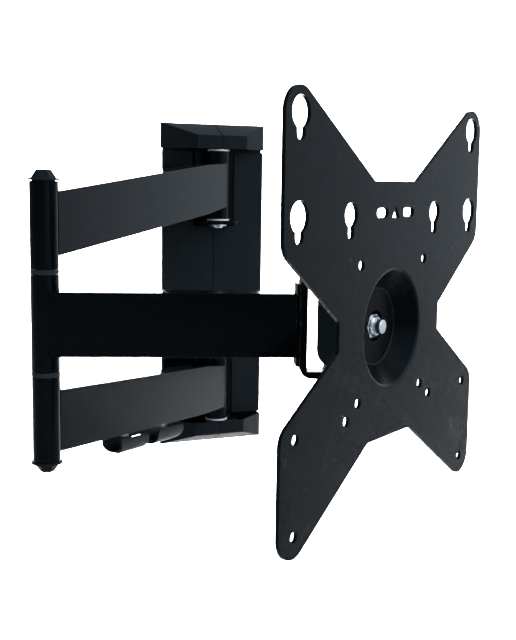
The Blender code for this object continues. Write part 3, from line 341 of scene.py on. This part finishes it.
def soften(result, width, segments=3, angle=SHARP_ANGLE):
    """Rounded edges with shading that stays flat on the flats."""
    bevel = result.modifiers.new("edges", "BEVEL")
    bevel.width = width
    bevel.segments = segments
    bevel.limit_method = "ANGLE"
    bevel.angle_limit = math.radians(angle)
    bevel.harden_normals = False
    bevel.miter_outer = "MITER_ARC"
    normals = result.modifiers.new("flats", "WEIGHTED_NORMAL")
    normals.keep_sharp = False
    normals.weight = 80
    return result


def cad_mesh(node):
    """The CAD node's mesh, welded, with its flat triangles joined to whole faces."""
    mesh = bmesh.new()
    mesh.from_mesh(frame["nodes"][node].data)
    bmesh.ops.remove_doubles(mesh, verts=mesh.verts, dist=WELD)
    bmesh.ops.dissolve_limit(mesh, angle_limit=math.radians(FLAT_ANGLE), verts=mesh.verts,
                             edges=mesh.edges, delimit={"NORMAL"})
    bmesh.ops.recalc_face_normals(mesh, faces=mesh.faces)
    return mesh


def refined(node, finish, width, segments=3):
    return soften(piece("look_" + node, cad_mesh(node), finish, node), width, segments)


def cut(mesh, cutters):
    """The mesh with the cutters taken out of it by an exact Boolean, as a new mesh."""
    objects = []
    for source in (mesh, cutters):
        bmesh.ops.recalc_face_normals(source, faces=source.faces)
        data = bpy.data.meshes.new("working")
        source.to_mesh(data)
        source.free()
        working = bpy.data.objects.new("working", data)
        bpy.context.scene.collection.objects.link(working)
        objects.append(working)
    target, helper = objects
    modifier = target.modifiers.new("cut", "BOOLEAN")
    modifier.operation = "DIFFERENCE"
    modifier.object = helper
    bpy.context.view_layer.update()
    evaluated = target.evaluated_get(bpy.context.evaluated_depsgraph_get())
    result = bmesh.new()
    result.from_mesh(evaluated.to_mesh())
    evaluated.to_mesh_clear()
    for working in objects:
        data = working.data
        bpy.data.objects.remove(working)
        bpy.data.meshes.remove(data)
    return result


def moved(mesh, matrix):
    bmesh.ops.transform(mesh, matrix=matrix, verts=mesh.verts)
    return mesh


# ---------------------------------------------------------------- outlines

def arc(centre, radius, start, end, steps):
    points = []
    for i in range(steps + 1):
        angle = math.radians(start + (end - start) * i / steps)
        points.append((centre[0] + radius * math.cos(angle), centre[1] + radius * math.sin(angle)))
    return points


def circle(radius, segments, centre=(0.0, 0.0)):
    return arc(centre, radius, 0.0, 360.0 * (segments - 1) / segments, segments - 1)


def rounded(corners, steps, closed=True):
    """Outline through corners given as (x, y, radius), each rounded by an arc."""
    points = []
    count = len(corners)
    for i, (x, y, radius) in enumerate(corners):
        end_point = not closed and i in (0, count - 1)
        if radius == 0.0 or end_point:
            points.append((x, y))
            continue
        here = Vector((x, y))
        before = (Vector(corners[i - 1][:2]) - here).normalized()
        after = (Vector(corners[(i + 1) % count][:2]) - here).normalized()
        half = before.angle(after) / 2.0
        centre = here + (before + after).normalized() * (radius / math.sin(half))
        tangent = radius / math.tan(half)
        first = here + before * tangent - centre
        last = here + after * tangent - centre
        start = math.degrees(math.atan2(first.y, first.x))
        turn = math.degrees(math.atan2(last.y, last.x)) - start
        turn = (turn + 180.0) % 360.0 - 180.0
        points += arc(centre, radius, start, start + turn, steps)
    return points


def keyhole(x, y, head_rise, head_radius, slot_radius):
    join = math.degrees(math.asin(slot_radius / head_radius))
    slot = arc((x, y), slot_radius, -180.0, 0.0, KEYHOLE_SLOT_STEPS)
    head = arc((x, y + head_rise), head_radius, -90.0 + join, 270.0 - join, KEYHOLE_HEAD_STEPS)
    return slot + head


def obround(x, y, half_length, radius):
    right = arc((x + half_length, y), radius, -90.0, 90.0, SLOT_END_STEPS)
    left = arc((x - half_length, y), radius, 90.0, 270.0, SLOT_END_STEPS)
    return right + left


def swept(outline, low, high, into=None):
    """Outline in X and Z, given a thickness from low to high along Y."""
    mesh = into or bmesh.new()
    first = [mesh.verts.new((x, low, z)) for x, z in outline]
    last = [mesh.verts.new((x, high, z)) for x, z in outline]
    mesh.faces.new(first)
    mesh.faces.new(list(reversed(last)))
    for i in range(len(outline)):
        k = (i + 1) % len(outline)
        mesh.faces.new((first[i], last[i], last[k], first[k]))
    return mesh


# ---------------------------------------------------------------- television plate

def head_frame():
    """Matrix from the plate's own frame (across, back, up) to the row's frame."""
    joint = JOINTS["plate_level"]
    normal = Vector(joint["axis"]).normalized()
    up = Vector((0.0, 0.0, 1.0))
    back = -normal
    across = back.cross(up)
    matrix = Matrix((across, back, up)).transposed().to_4x4()
    matrix.translation = Vector(joint["pos_m"])
    return matrix


def plate_outline():
    half = [
        (BOTTOM_NOTCH[0], BOTTOM_NOTCH[1], NOTCH_RADIUS),
        (PLATE_SIDE, BOTTOM_CORNER, LOBE_RADIUS),
        (PLATE_SIDE, LOWER_SHOULDER, SHOULDER_RADIUS),
        (WAIST_HALF_WIDTH, WAIST_BOTTOM, WAIST_RADIUS),
        (WAIST_HALF_WIDTH, WAIST_TOP, WAIST_RADIUS),
        (PLATE_SIDE, UPPER_SHOULDER, SHOULDER_RADIUS),
        (PLATE_SIDE, TOP_CORNER, LOBE_RADIUS),
        (TOP_NOTCH[0], TOP_NOTCH[1], NOTCH_RADIUS),
    ]
    left = [(-x, y, radius) for x, y, radius in reversed(half)]
    return rounded(half + left, OUTLINE_STEPS)


def plate_openings():
    places = ((OUTER_COLUMN, OUTER_COLUMN, OUTER_KEYHOLE),
              (OUTER_COLUMN, INNER_COLUMN, OUTER_KEYHOLE),
              (INNER_COLUMN, INNER_COLUMN, INNER_KEYHOLE))
    openings = []
    for side in (-1.0, 1.0):
        for x, y, sizes in places:
            openings.append(keyhole(side * x, y, *sizes))
            openings.append(circle(HOLE_RADIUS, HOLE_SEGMENTS, (side * x, -y)))
        for y in (SMALL_SQUARE, -SMALL_SQUARE):
            place = (side * SMALL_SQUARE, y - PATTERN_RISE)
            openings.append(circle(HOLE_RADIUS, HOLE_SEGMENTS, place))
        openings.append(obround(side * SLOT_CENTRE, SLOT_LEVEL, SLOT_HALF_LENGTH, SLOT_RADIUS))
    triangle = [(-TRIANGLE_HALF_WIDTH, TRIANGLE_BASE), (TRIANGLE_HALF_WIDTH, TRIANGLE_BASE),
                (0.0, TRIANGLE_TIP)]
    openings.append(triangle)
    return openings


def dish_rings():
    """Section of the pressed dish, from the rim's front face inwards and back out behind it."""
    front = rounded([
        (DISH_RIM, 0.0, 0.0),
        (DISH_RADIUS, 0.0, RIM_FILLET),
        (DISH_FLOOR_RADIUS, DISH_DEPTH, FLOOR_FILLET),
        (POCKET_RADIUS, DISH_DEPTH, POCKET_RIM_FILLET),
        (POCKET_RADIUS, POCKET_DEPTH, POCKET_FLOOR_FILLET),
        (STUD_HOLE, POCKET_DEPTH, 0.0),
    ], FILLET_STEPS, closed=False)
    pocket_back = POCKET_DEPTH + PLATE_GAUGE
    pocket_side = POCKET_RADIUS + PLATE_GAUGE
    floor_back = DISH_DEPTH + PLATE_GAUGE
    back = rounded([
        (STUD_HOLE, pocket_back, 0.0),
        (pocket_side, pocket_back, POCKET_BACK_FILLET),
        (pocket_side, floor_back, POCKET_ROOT_FILLET),
        (DISH_FLOOR_RADIUS + FLOOR_BACK_SPREAD, floor_back, FLOOR_BACK_FILLET),
        (DISH_RADIUS + RIM_BACK_SPREAD, PLATE_GAUGE, RIM_BACK_FILLET),
        (DISH_RIM, PLATE_GAUGE, 0.0),
    ], FILLET_STEPS, closed=False)
    return front + back


def flat_plate():
    """The plate with its openings, and a round hole where the dish goes."""
    outline = [(x, z + PATTERN_RISE) for x, z in plate_outline()]
    mesh = swept(outline, 0.0, PLATE_GAUGE)
    openings = bmesh.new()
    for opening in plate_openings():
        lifted = [(x, z + PATTERN_RISE) for x, z in opening]
        swept(lifted, -PLATE_GAUGE, 2.0 * PLATE_GAUGE, openings)
    swept(circle(DISH_RIM, DISH_SEGMENTS), -PLATE_GAUGE, 2.0 * PLATE_GAUGE, openings)
    return cut(mesh, openings)


def add_dish(mesh):
    """Takes the wall of the round hole away and welds the turned dish to its two edges."""
    wall = []
    for face in mesh.faces:
        if all(abs(math.hypot(v.co.x, v.co.z) - DISH_RIM) < RIM_SLACK for v in face.verts):
            wall.append(face)
    bmesh.ops.delete(mesh, geom=wall, context="FACES_ONLY")
    rings = []
    for radius, depth in dish_rings():
        rings.append([mesh.verts.new((x, depth, z)) for x, z in circle(radius, DISH_SEGMENTS)])
    for first, second in zip(rings, rings[1:]):
        for i in range(DISH_SEGMENTS):
            k = (i + 1) % DISH_SEGMENTS
            mesh.faces.new((first[i], second[i], second[k], first[k]))
    bmesh.ops.remove_doubles(mesh, verts=mesh.verts, dist=DISH_WELD)
    bmesh.ops.recalc_face_normals(mesh, faces=mesh.faces)


def paint_dish_shade(mesh):
    """Paints shade on the dish's floor and wall with the second, darker and duller finish, and leaves its fillets
    the plate's so that their edges stay bright.
    """
    for face in mesh.faces:
        middle = face.calc_center_median()
        radius = math.hypot(middle.x, middle.z)
        in_floor = radius < DISH_FLOOR_RADIUS - DISH_BLEND and middle.y > 0.9 * DISH_DEPTH
        in_wall = DISH_FLOOR_RADIUS + DISH_BLEND < radius < DISH_RADIUS - DISH_BLEND
        if in_floor or in_wall:
            face.material_index = 1


def television_plate():
    mesh = flat_plate()
    add_dish(mesh)
    paint_dish_shade(mesh)
    plate = piece("look_tv_plate", moved(mesh, head_frame()), PLATE_STEEL, "tv_plate")
    # second slot: the dish's painted shade
    plate.data.materials.append(DISH_PAINTED_SHADE)
    soften(plate, PRESSED_EDGE)


# ---------------------------------------------------------------- arms

LONG_EDGE = 20.0 * MM
ALONG_THE_ARM = math.radians(12.0)
SQUARE_CORNER = math.radians(60.0)


def arm_tube(node):
    """Rectangular tube with the corner radius that rolling leaves along it."""
    mesh = cad_mesh(node)
    low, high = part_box(node)
    run = Vector((high.x - low.x, high.y - low.y))
    long_edges = []
    for edge in mesh.edges:
        step = edge.verts[1].co - edge.verts[0].co
        level = Vector((abs(step.x), abs(step.y)))
        if step.length < LONG_EDGE or level.length < 0.9 * step.length:
            continue
        if level.angle(run) < ALONG_THE_ARM and len(edge.link_faces) == 2:
            if edge.calc_face_angle() > SQUARE_CORNER and edge.is_convex:
                long_edges.append(edge)
    bmesh.ops.bevel(mesh, geom=long_edges, offset=TUBE_CORNER, segments=5, profile=0.5,
                    affect="EDGES", clamp_overlap=True)
    tube = piece("look_" + node, mesh, ARM_STEEL, node)
    return soften(tube, TUBE_END_EDGE, 2, TUBE_SHARP_ANGLE)


# ---------------------------------------------------------------- assembly

def dress():
    television_plate()
    for node in ("upper_arm_tube", "lower_arm_tube", "outer_arm_tube"):
        arm_tube(node)
    for node in ("upper_wall_sleeve", "lower_wall_sleeve", "upper_elbow_sleeve", "lower_elbow_sleeve",
                 "outer_arm_sleeve"):
        refined(node, STEEL, SLEEVE_EDGE)
    for node in ("wall_plate", "upper_hinge_bracket", "lower_hinge_bracket"):
        refined(node, STEEL, PRESSED_EDGE)
    for node in ("arm_end_plate", "head_bracket"):
        refined(node, BRACKET_STEEL, PRESSED_EDGE)
    for node in ("centre_cover", "top_cap", "bottom_cap", "cable_clip", "elbow_cap_top",
                 "elbow_cap_bottom"):
        refined(node, PLASTIC, CAP_EDGE if node.endswith("cap") else MOULDED_EDGE)
    refined("swivel_block", CAST, CAST_EDGE, 4)
    refined("tilt_knuckle", CAST, KNUCKLE_EDGE)
    for node in ("elbow_bush_upper", "elbow_bush_lower"):
        refined(node, RING, MOULDED_EDGE)
    for node in ("upper_wall_bush_outer", "upper_wall_bush_inner", "lower_wall_bush_outer",
                 "lower_wall_bush_inner", "swivel_spacer_top", "swivel_spacer_bottom",
                 "friction_washer"):
        refined(node, NYLON, BUSH_EDGE)
    for node in ("upper_wall_pin", "lower_wall_pin", "upper_pin_ring", "lower_pin_ring", "elbow_bolt",
                 "elbow_nut", "clip_screw_1", "clip_screw_2", "swivel_bolt", "swivel_nut", "tilt_bolt",
                 "tilt_washer", "plate_stud", "plate_washer", "plate_nut"):
        refined(node, ZINC, WASHER_EDGE if "washer" in node else FASTENER_EDGE)


# ---------------------------------------------------------------- studio

FLOOR_LEVEL = -1.1
FLOOR_REACH = 9.0
PAPER_LIFT = 2.0 * MM               # backdrop above the floor
BACKDROP_START = 0.9
BACKDROP_WALL = 5.0
BACKDROP_CURVE = 1.4
BACKDROP_STEPS = 16
BACKDROP_TOP = 2.5
BACKDROP_SIDES = (-0.5, 5.6)
FLOOR_SHADE = 0.58
BACKDROP_SHADE = 0.88
PAPER_GRAIN = 0.05
PAPER_VARIATION = 0.03
STUDIO_TINT = (0.90, 1.0, 1.09)
ROOM_LEFT = 0.17                    # brightness of the room towards -X
ROOM_RIGHT = 0.45
SIDE_BRIGHTNESS = 0.95              # added to the right, behind the plate
FRONT_BRIGHTNESS = 1.6              # added in front and above
LAMP_PLACE = (2.0, 2.6, 2.2)
LAMP_TARGET = (1.8, 3.5, 0.44)
LAMP_SIZE = (3.0, 1.2)
LAMP_POWER = 1150.0
LAMP_SPREAD = math.radians(110.0)
CAMERA_PLACE = Vector((-0.29363, -0.77537, 0.0825))
CAMERA_HEADING = math.radians(23.4)
CAMERA_PITCH = math.radians(7.612)
CAMERA_ROLL = math.radians(0.827)
CAMERA_LENS = 58.25
CAMERA_SENSOR = 36.0
CAMERA_NEAREST = 0.02


def studio_paper(name, shade):
    m = Nodes(name)
    grain = m.noise(PAPER_GRAIN, 4.0)
    paler = shade + PAPER_VARIATION
    m.colour(m.ramp(grain, [(0.3, (shade, shade, shade)), (0.7, (paler, paler, paler))]))
    m.roughness(m.spread(grain, 0.85, 0.95))
    m.constant("Specular IOR Level", 0.2)
    return m.material


def studio_floor(paper):
    """Large plain floor, well below a bracket that hangs on a wall."""
    mesh = bmesh.new()
    bmesh.ops.create_grid(mesh, x_segments=8, y_segments=8, size=FLOOR_REACH)
    bmesh.ops.translate(mesh, vec=(0.0, 0.0, FLOOR_LEVEL), verts=mesh.verts)
    staged("studio_floor", mesh, paper)


def backdrop(paper):
    """Roll of the same paper that comes down behind the bracket and runs out along the floor."""
    level = FLOOR_LEVEL + PAPER_LIFT
    profile = [(BACKDROP_START, level)]
    for i in range(BACKDROP_STEPS + 1):
        angle = math.radians(90.0 * i / BACKDROP_STEPS)
        y = BACKDROP_WALL - BACKDROP_CURVE + BACKDROP_CURVE * math.sin(angle)
        z = level + BACKDROP_CURVE - BACKDROP_CURVE * math.cos(angle)
        profile.append((y, z))
    profile.append((BACKDROP_WALL, BACKDROP_TOP))
    mesh = bmesh.new()
    rows = []
    for y, z in profile:
        rows.append([mesh.verts.new((x, y, z)) for x in BACKDROP_SIDES])
    for low, high in zip(rows, rows[1:]):
        face = mesh.faces.new((low[0], low[1], high[1], high[0]))
        face.smooth = True
    staged("backdrop", mesh, paper)


def staged(name, mesh, finish):
    data = bpy.data.meshes.new(name)
    mesh.to_mesh(data)
    mesh.free()
    data.materials.append(finish)
    result = bpy.data.objects.new(name, data)
    bpy.context.scene.collection.objects.link(result)


def softbox(name, place, target, size, power, spread):
    data = bpy.data.lights.new(name, "AREA")
    data.shape = "RECTANGLE"
    data.size, data.size_y = size
    data.energy = power
    data.spread = spread
    light = bpy.data.objects.new(name, data)
    bpy.context.scene.collection.objects.link(light)
    light.location = place
    light.rotation_euler = (Vector(target) - Vector(place)).to_track_quat("-Z", "Y").to_euler()
    light.visible_camera = False


class Sky:
    """The studio round the object as a brightness for each direction."""

    def __init__(self):
        world = bpy.data.worlds.new("studio")
        bpy.context.scene.world = world
        world.use_nodes = True
        self.tree = world.node_tree
        self.background = self.tree.nodes["Background"]
        place = self.tree.nodes.new("ShaderNodeTexCoord")
        self.split = self.tree.nodes.new("ShaderNodeSeparateXYZ")
        self.tree.links.new(place.outputs["Generated"], self.split.inputs["Vector"])

    def ramp(self, axis, start, end, high, low=0.0):
        node = self.tree.nodes.new("ShaderNodeMapRange")
        node.interpolation_type = "SMOOTHSTEP"
        node.inputs["From Min"].default_value = start
        node.inputs["From Max"].default_value = end
        node.inputs["To Min"].default_value = low
        node.inputs["To Max"].default_value = high
        self.tree.links.new(self.split.outputs[axis], node.inputs["Value"])
        return node.outputs["Result"]

    def math(self, operation, first, second):
        node = self.tree.nodes.new("ShaderNodeMath")
        node.operation = operation
        for socket, value in zip(node.inputs, (first, second)):
            if isinstance(value, float):
                socket.default_value = value
            else:
                self.tree.links.new(value, socket)
        return node.outputs["Value"]


def studio_light():
    """Room that is brighter to the right and in front, and one light that whitens the backdrop.

    The ramps run over a direction's X, Y and Z, each from -1 to 1.
    """
    sky = Sky()
    room = sky.ramp("X", -0.35, 0.6, ROOM_RIGHT, ROOM_LEFT)
    to_right = sky.ramp("X", 0.0, 0.6, 1.0)
    side = sky.math("MULTIPLY", to_right, sky.ramp("Y", -0.10, 0.45, SIDE_BRIGHTNESS))
    front = sky.math("MULTIPLY", sky.ramp("Y", 0.1, -0.5, 1.0), sky.ramp("X", -0.3, 0.4, 1.0))
    front_above = sky.math("MULTIPLY", front, sky.ramp("Z", -0.15, 0.3, FRONT_BRIGHTNESS))
    total = sky.math("ADD", sky.math("ADD", room, side), front_above)
    tint = sky.tree.nodes.new("ShaderNodeVectorMath")
    tint.operation = "SCALE"
    tint.inputs[0].default_value = STUDIO_TINT
    sky.tree.links.new(total, tint.inputs["Scale"])
    sky.tree.links.new(tint.outputs["Vector"], sky.background.inputs["Color"])
    softbox("backdrop_light", LAMP_PLACE, LAMP_TARGET, LAMP_SIZE, LAMP_POWER, LAMP_SPREAD)


def camera():
    forward = Vector((math.sin(CAMERA_HEADING) * math.cos(CAMERA_PITCH),
                      math.cos(CAMERA_HEADING) * math.cos(CAMERA_PITCH), -math.sin(CAMERA_PITCH)))
    level = Vector((math.cos(CAMERA_HEADING), -math.sin(CAMERA_HEADING), 0.0))
    above = level.cross(forward)
    right = level * math.cos(CAMERA_ROLL) + above * math.sin(CAMERA_ROLL)
    up = above * math.cos(CAMERA_ROLL) - level * math.sin(CAMERA_ROLL)
    matrix = Matrix((right, up, -forward)).transposed().to_4x4()
    matrix.translation = CAMERA_PLACE
    data = bpy.data.cameras.new("camera")
    data.lens = CAMERA_LENS
    data.sensor_width = CAMERA_SENSOR
    data.clip_start = CAMERA_NEAREST
    result = bpy.data.objects.new("camera", data)
    bpy.context.scene.collection.objects.link(result)
    result.matrix_world = matrix
    bpy.context.scene.camera = result


dress()
studio_floor(studio_paper("studio floor", FLOOR_SHADE))
backdrop(studio_paper("backdrop paper", BACKDROP_SHADE))
studio_light()
camera()
bpy.context.scene.view_settings.view_transform = "Standard"
